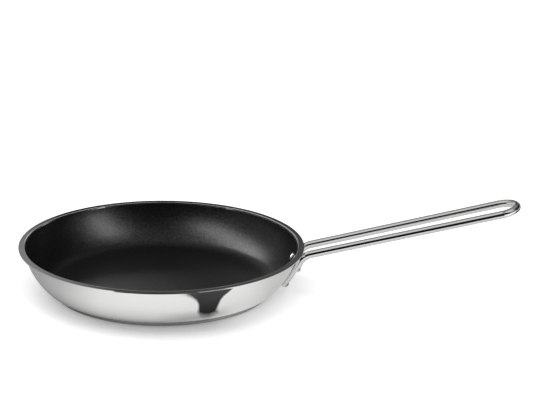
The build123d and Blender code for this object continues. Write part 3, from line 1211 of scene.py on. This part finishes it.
@dataclass(frozen=True)
class Surroundings:
    """World light, which depends on the direction alone: x to the right, y away from the camera and z up.

    Matt surfaces get a nearly even light, and the camera sees white. Polished steel shows a bright ceiling,
    dimmer in its middle and at the back, over a dark backdrop that is light on the left and low down, and a
    little lighter again under the ceiling. The room is dim straight in front of the pan, and on its right
    from the middle to the back.
    """

    left_slant: float = -0.7
    left_light: Ramp = Ramp(-0.365, -0.33, 0.3, 0)
    backdrop: Ramp = Ramp(-0.04, 0.03, 0.015, 0.09)
    ceiling_middle: float = -0.03
    ceiling: Ramp = Ramp(0.05, 0.13, 0.36, 0.82)
    ceiling_edge: Ramp = Ramp(0.44, 0.73, smooth=True)
    back_direction: Place = (0, 0.616, 0.788)
    back_dimming: Ramp = Ramp(0.8, 0.93, 1, 0.45)
    front_direction: Place = (0.12, -0.97, 0.2)
    front_dimming: Ramp = Ramp(0.68, 0.84, 1, 0.02, smooth=True)
    right_dimming: Ramp = Ramp(0.3, 0.6, 1, 0.12)
    undimmed_front: Ramp = Ramp(-0.12, 0.08, 1, 0)
    horizon: Ramp = Ramp(0.22, 0.28, 0.6, 0)
    upper_backdrop: Ramp = Ramp(0.31, 0.35, 0, 0.085)
    even: Ramp = Ramp(-1, 1, 0.57, 0.53)

    def mirrored(self, tree: bpy.types.NodeTree) -> bpy.types.NodeSocket:
        """What polished surfaces show: backdrop, ceiling and bands, times the dimming on three sides.

        Args:
            tree: the world's node tree.
        Returns:
            Socket of the brightness.
        """
        direction = {0: add_node(tree, "TexCoord")["Generated"]}
        parts = add_node(tree, "SeparateXYZ", None, direction)
        x, y, z = ({"Value": parts[axis]} for axis in "XYZ")
        slanting = {"operation": "MULTIPLY_ADD", 1: self.left_slant}
        slant = add_node(tree, "Math", slanting, {0: parts["Z"], 2: parts["X"]})[0]
        left = add_node(tree, "MapRange", self.left_light.settings, {"Value": slant})[0]
        across = add_node(tree, "MapRange", self.backdrop.settings, x)[0]
        backdrop = add_node(tree, "Math", {"operation": "ADD"}, {0: left, 1: across})[0]
        offset = add_node(tree, "Math", {"operation": "SUBTRACT", 1: self.ceiling_middle}, {0: parts["X"]})[0]
        aside = add_node(tree, "Math", {"operation": "ABSOLUTE"}, {0: offset})[0]
        ceiling = add_node(tree, "MapRange", self.ceiling.settings, {"Value": aside})[0]
        tones = {"To Min": backdrop, "To Max": ceiling, **z}
        level = add_node(tree, "MapRange", self.ceiling_edge.settings, tones)[0]
        for band in (self.horizon, self.upper_backdrop):
            light = add_node(tree, "MapRange", band.settings, z)[0]
            level = add_node(tree, "Math", {"operation": "ADD"}, {0: level, 1: light})[0]
        right = add_node(tree, "MapRange", self.right_dimming.settings, x)[0]
        front = add_node(tree, "MapRange", self.undimmed_front.settings, y)[0]
        flank = add_node(tree, "Math", {"operation": "MAXIMUM"}, {0: right, 1: front})[0]
        level = add_node(tree, "Math", {"operation": "MULTIPLY"}, {0: level, 1: flank})[0]
        dimmings = [(self.front_direction, self.front_dimming), (self.back_direction, self.back_dimming)]
        for towards, dimming in dimmings:
            alignment = {"operation": "DOT_PRODUCT", 1: towards}
            facing = add_node(tree, "VectorMath", alignment, direction)["Value"]
            shade = add_node(tree, "MapRange", dimming.settings, {"Value": facing})[0]
            level = add_node(tree, "Math", {"operation": "MULTIPLY"}, {0: level, 1: shade})[0]
        return level

    def build(self) -> None:
        """Sets the world up: white to the camera, even on matt surfaces, and a studio to polished ones."""
        world = bpy.data.worlds.new("soft_studio")
        bpy.context.scene.world = world
        tree = bare_tree(world)
        across = add_node(tree, "SeparateXYZ", None, {0: add_node(tree, "TexCoord")["Generated"]})["X"]
        even = add_node(tree, "MapRange", self.even.settings, {"Value": across})[0]
        path = add_node(tree, "LightPath")
        tones = {0: path["Is Glossy Ray"], 2: even, 3: self.mirrored(tree)}
        shown = add_node(tree, "Mix", None, tones)[0]
        seen = add_node(tree, "Mix", {3: 1.0}, {0: path["Is Camera Ray"], 2: shown})[0]
        glow = add_node(tree, "Background", None, {"Strength": seen})[0]
        add_node(tree, "OutputWorld", None, {"Surface": glow})


@dataclass(frozen=True)
class Floor:
    """Level pale floor under the pan, wide enough to fill every view, in metres.

    It is matt white, and mirroring surfaces see it lighter by the lift. The camera sees it lighter away from
    the pan, by the glow over the distance, so that a painted shadow lies round the pan and goes over into the
    white behind it. Distances along y count for less, by the spread, so that the painted shadow is longer
    that way.
    """

    size: float = 24.0
    colour: str = "F8F8F8"
    lift: float = 0.24
    # Painted shadow: to the camera the floor glows less within this distance of the pan's axis, so it is
    # darker round the pan.
    glow: Ramp = Ramp(0.058, 0.108, 0.09, 0.41)
    spread: Place = (1.0, 0.65, 0.0)

    def material(self) -> bpy.types.Material:
        """Builds the finish: a matt surface, with a glow of its own to the camera and to mirroring surfaces.

        Returns:
            The finish.
        """
        material = bpy.data.materials.new("matt_white_floor")
        tree = bare_tree(material)
        path = add_node(tree, "LightPath")
        mirrors = {0: path["Is Glossy Ray"], 1: path["Is Transmission Ray"]}
        mirrored = add_node(tree, "Math", {"operation": "MAXIMUM"}, mirrors)[0]
        shown = add_node(tree, "Math", {"operation": "MULTIPLY", 1: self.lift}, {0: mirrored})[0]
        # Painted shadow round the pan: the camera's glow grows with the distance from the pan's axis.
        place = add_node(tree, "TexCoord")["Object"]
        spread = add_node(tree, "VectorMath", {"operation": "MULTIPLY", 1: self.spread}, {0: place})[0]
        reach = add_node(tree, "VectorMath", {"operation": "LENGTH"}, {0: spread})["Value"]
        outward = add_node(tree, "MapRange", self.glow.settings, {"Value": reach})[0]
        lift = add_node(tree, "Mix", None, {0: path["Is Camera Ray"], 2: shown, 3: outward})[0]
        matt = add_node(tree, "BsdfDiffuse", {"Color": linear(self.colour)})[0]
        glow = add_node(tree, "Emission", {"Color": WHITE}, {"Strength": lift})[0]
        both = add_node(tree, "AddShader", None, {0: matt, 1: glow})
        add_node(tree, "OutputMaterial", None, {"Surface": both[0]})
        return material

    def build(self) -> None:
        """Lays the floor."""
        half = self.size / 2
        mesh = bpy.data.meshes.new("studio_floor")
        edges = [(-half, -half, 0), (half, -half, 0), (half, half, 0), (-half, half, 0)]
        mesh.from_pydata(edges, [], [(0, 1, 2, 3)])
        mesh.materials.append(self.material())
        floor = bpy.data.objects.new("studio_floor", mesh)
        bpy.context.scene.collection.objects.link(floor)


@dataclass
class Studio:
    """Pale floor, dim surroundings, soft lamps, and cards that paint reflections. Only coating and rivets
    mirror the lamps.
    """

    coating: tuple[str, ...] = ("bowl_nonstick_layer",)
    rivets: tuple[str, ...] = ("rivets_by_the_bend", "rivets_by_the_nose")
    bowl_middle: Place = (0, 0, 0.03)
    leg: Place = (0.11, 0, 0.03)

    def build(self) -> None:
        """Puts everything up, after the pieces that its lamps name."""
        lamps = [
            Lamp("high_fill", (-0.2, -0.55, 3.0), (0, 0, 0), (5.0, 2.0), 2.3),
            Lamp("left_bank", (-0.86, -0.18, 0.92), self.bowl_middle, (2.3, 0.4), 9.0, self.coating),
            Lamp("right_strip", (0.85, -0.385, 0.63), self.bowl_middle, (0.25, 0.9), 12.5, self.coating),
            Lamp("low_back_glow", (-0.27, 1.4, 0.52), (0, 0, 0), (0.34, 0.2), 1.4, self.coating),
            Lamp("rivet_strip", (-0.75, 0.55, 0.6), self.leg, (0.1, 1.0), 9.0, self.rivets),
        ]
        cards = [
            # The cards are painted reflections: only polished surfaces see them.
            Card.upright("front_flag", ahead=0.2, left=-0.35, right=0.345, height=0.27),
            Card.upright("back_flag", ahead=-0.6, left=-0.13, right=0.06, height=0.06),
            Card.corner("corner_card"),
            Card.ring("grey_ring"),
            Card.far_corner("far_card"),
        ]
        for item in (Floor(), Surroundings(), *lamps, *cards):
            item.build()


@dataclass
class Viewpoint:
    """Camera fitted to the photograph's rim and base: a long lens looking slightly down at the pan's side."""

    place: Place = (0.0904, -1.4137, 0.5239)
    pitch: float = 17.61
    roll: float = 1.072
    lens: float = 118.2
    sensor_width: float = 36.0

    def build(self) -> None:
        """Sets the camera up: its right and up axes are those of a level camera, turned by the roll."""
        pitch, roll = np.radians(self.pitch), np.radians(self.roll)
        ahead = np.array([0, np.cos(pitch), -np.sin(pitch)])
        level = np.array([1.0, 0.0, 0.0])
        top = np.array([0, np.sin(pitch), np.cos(pitch)])
        right = np.cos(roll) * level + np.sin(roll) * top
        up = np.cos(roll) * top - np.sin(roll) * level
        data = bpy.data.cameras.new("photo_camera")
        data.sensor_fit = "HORIZONTAL"
        data.sensor_width = self.sensor_width
        data.lens = self.lens
        data.dof.use_dof = False
        camera = bpy.data.objects.new("photo_camera", data)
        axes = np.eye(4)
        axes[:3] = np.stack([right, up, -ahead, self.place], -1)
        camera.matrix_world = Matrix(axes.tolist())
        bpy.context.scene.collection.objects.link(camera)
        bpy.context.scene.camera = camera


def dress(piece: bpy.types.Object, nodes: list[str]) -> None:
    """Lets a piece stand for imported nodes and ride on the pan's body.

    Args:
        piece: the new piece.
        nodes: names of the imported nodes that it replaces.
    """
    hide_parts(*nodes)
    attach(piece, BODY)
    log.info("%s stands for %s, with %d faces", piece.name, ", ".join(nodes), len(piece.data.polygons))


def main() -> None:
    """Builds the pan's pieces, then the studio and camera."""
    logging.basicConfig(level=logging.INFO, format="%(message)s")
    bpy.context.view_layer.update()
    handle = Handle()
    for part in (Bowl(), Base(), handle, Rivets(handle), Studio(), Viewpoint()):
        part.build()
        log.info("%s built", type(part).__name__)
    bpy.context.scene.view_settings.view_transform = "Standard"


if __name__ == "__main__":
    main()
